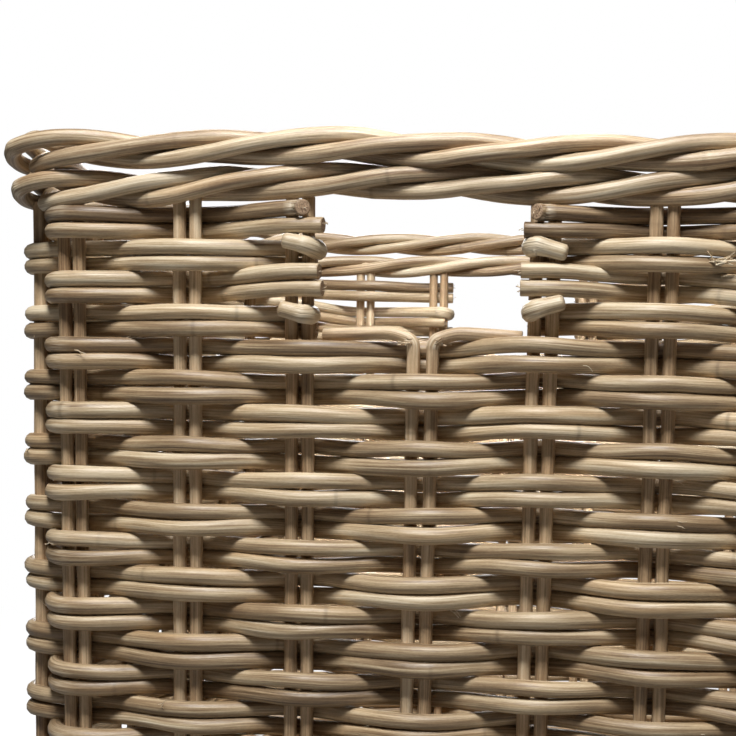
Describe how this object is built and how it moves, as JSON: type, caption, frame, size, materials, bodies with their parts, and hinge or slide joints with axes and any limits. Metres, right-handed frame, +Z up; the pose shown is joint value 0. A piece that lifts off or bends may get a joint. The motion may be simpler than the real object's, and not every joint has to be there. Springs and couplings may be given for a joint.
{
  "type": "rattan shelf basket",
  "caption": "Square open shelf basket, plain woven from round rattan canes in pairs, with a twisted border and a hand hole in the front and back walls.",
  "frame": {"origin": "middle of the footprint, on the surface that the basket stands on", "axes": "+X to the right, +Y from the front wall to the back wall, +Z up"},
  "size_m": [0.3253, 0.345, 0.3186],
  "materials": {
    "woven_cane": "grey-brown round rattan, dull, with fibre streaks",
    "stake_cane": "thinner and darker grey-brown rattan, dull",
    "border_cane": "grey-brown round rattan, dull, with lighter worn tops"
  },
  "bodies": {
    "root": {"row_1": "woven_cane", "row_2": "woven_cane", "row_3": "woven_cane", "row_4": "woven_cane", "row_5": "woven_cane", "row_6": "woven_cane", "row_7": "woven_cane", "row_8": "woven_cane", "row_9": "woven_cane", "row_10": "woven_cane", "row_11": "woven_cane", "row_12": "woven_cane", "row_13": "woven_cane", "row_14": "woven_cane", "row_15": "woven_cane", "row_16": "woven_cane", "row_17": "woven_cane", "row_18": "woven_cane", "row_19": "woven_cane", "row_20_left": "woven_cane", "row_20_right": "woven_cane", "row_21_left": "woven_cane", "row_21_right": "woven_cane", "row_22_left": "woven_cane", "row_22_right": "woven_cane", "row_23_left": "woven_cane", "row_23_right": "woven_cane", "front_to_back_stake_1": "stake_cane", "front_to_back_stake_2": "stake_cane", "front_to_back_stake_3": "stake_cane", "front_to_back_stake_5": "stake_cane", "front_to_back_stake_6": "stake_cane", "front_to_back_stake_7": "stake_cane", "middle_stake_left": "stake_cane", "middle_stake_right": "stake_cane", "left_to_right_stake_1": "stake_cane", "left_to_right_stake_2": "stake_cane", "left_to_right_stake_3": "stake_cane", "left_to_right_stake_4": "stake_cane", "left_to_right_stake_5": "stake_cane", "left_to_right_stake_6": "stake_cane", "left_to_right_stake_7": "stake_cane", "base_cane_1": "stake_cane", "base_cane_2": "stake_cane", "base_cane_3": "stake_cane", "base_cane_4": "stake_cane", "base_cane_5": "stake_cane", "base_cane_6": "stake_cane", "lower_border_strand_1": "border_cane", "lower_border_strand_2": "border_cane", "lower_border_strand_3": "border_cane", "upper_border_strand_1": "border_cane", "upper_border_strand_2": "border_cane", "upper_border_strand_3": "border_cane"}
  },
  "joints": []
}
